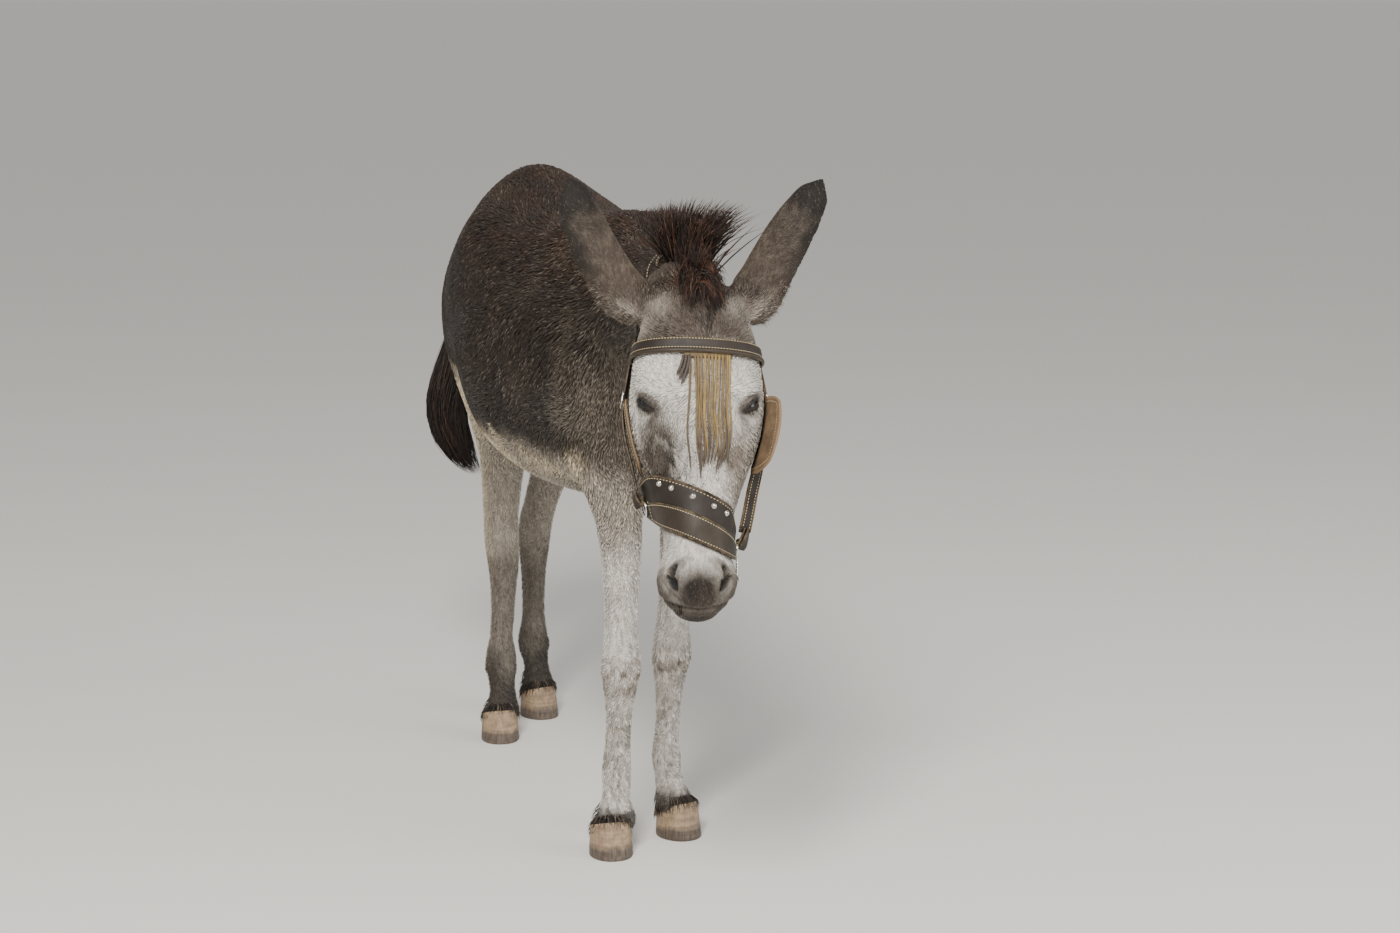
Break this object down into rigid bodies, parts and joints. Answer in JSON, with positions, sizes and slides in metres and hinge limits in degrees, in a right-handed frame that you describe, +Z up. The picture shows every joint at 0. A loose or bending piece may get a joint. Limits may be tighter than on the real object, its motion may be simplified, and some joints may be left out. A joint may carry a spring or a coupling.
{
  "type": "donkey",
  "caption": "Life-size donkey standing square-on with its head lowered and turned, wearing a leather driving bridle with blinkers, a studded noseband and a fly fringe.",
  "frame": {"origin": "middle of the bounding box in X and Y, at the level of the hoof soles", "axes": "+Z up, the donkey faces -Y and its left side is +X"},
  "size_m": [0.526, 1.803, 1.3178],
  "materials": {
    "dark_coat": "short dark brown winter hair with grey ticking",
    "pale_coat": "short pale grey hair",
    "dark_hair": "long coarse dark brown hair",
    "horn": "dry ringed hoof horn",
    "wet_eye": "wet dark brown eye",
    "brown_leather": "worn olive-brown strap leather",
    "tan_leather": "dull tan leather",
    "nickel": "dulled nickel plate"
  },
  "bodies": {
    "root": {"head": "pale_coat", "neck": "dark_coat", "trunk": "dark_coat", "tail": "dark_coat", "tail_switch": "dark_hair", "foreleg_right": "pale_coat", "foreleg_left": "pale_coat", "hindleg_right": "dark_coat", "hindleg_left": "dark_coat", "hoof_foreleg_right": "horn", "hoof_foreleg_left": "horn", "hoof_hindleg_right": "horn", "hoof_hindleg_left": "horn", "mane": "dark_hair", "forelock": "dark_hair", "eye_left": "wet_eye", "eye_right": "wet_eye", "browband": "brown_leather", "noseband": "brown_leather", "chin_strap": "brown_leather", "crownpiece": "brown_leather", "blinker_left": "tan_leather", "blinker_right": "tan_leather", "cheekpiece_left": "brown_leather", "cheekpiece_right": "brown_leather", "noseband_stud_1": "nickel", "noseband_stud_2": "nickel", "noseband_stud_3": "nickel", "noseband_stud_4": "nickel", "noseband_stud_5": "nickel", "noseband_ring_left": "nickel", "noseband_ring_right": "nickel", "fly_fringe": "tan_leather"}
  },
  "joints": []
}
